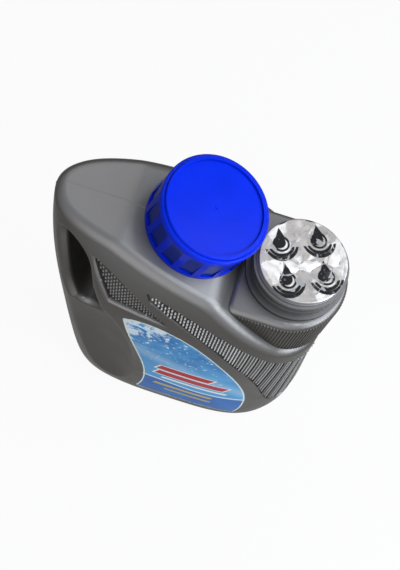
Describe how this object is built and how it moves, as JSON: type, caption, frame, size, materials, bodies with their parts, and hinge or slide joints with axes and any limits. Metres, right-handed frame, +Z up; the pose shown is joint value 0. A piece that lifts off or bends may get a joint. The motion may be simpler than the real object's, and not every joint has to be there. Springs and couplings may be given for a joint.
{
  "type": "antifreeze jug",
  "caption": "Blow-moulded grey jug with a through handle, textured swoosh, labelled front and foil-sealed neck, its blue screw cap lying on the sloping deck.",
  "frame": {"origin": "centre of the base, on the surface that the jug stands on", "axes": "+Z up, -Y out of the labelled front, +X towards the neck end, -X towards the handle"},
  "size_m": [0.2221, 0.1118, 0.3352],
  "materials": {
    "body_plastic": "satin pearl grey, lightly grained",
    "label_film": "printed film, blue fields with a pale border",
    "foil": "crinkled bright foil with dark printed marks",
    "cap_plastic": "glossy royal blue"
  },
  "bodies": {
    "root": {"jug_body": "body_plastic", "front_label": "label_film", "foil_seal": "foil", "screw_cap": "cap_plastic"}
  },
  "joints": []
}
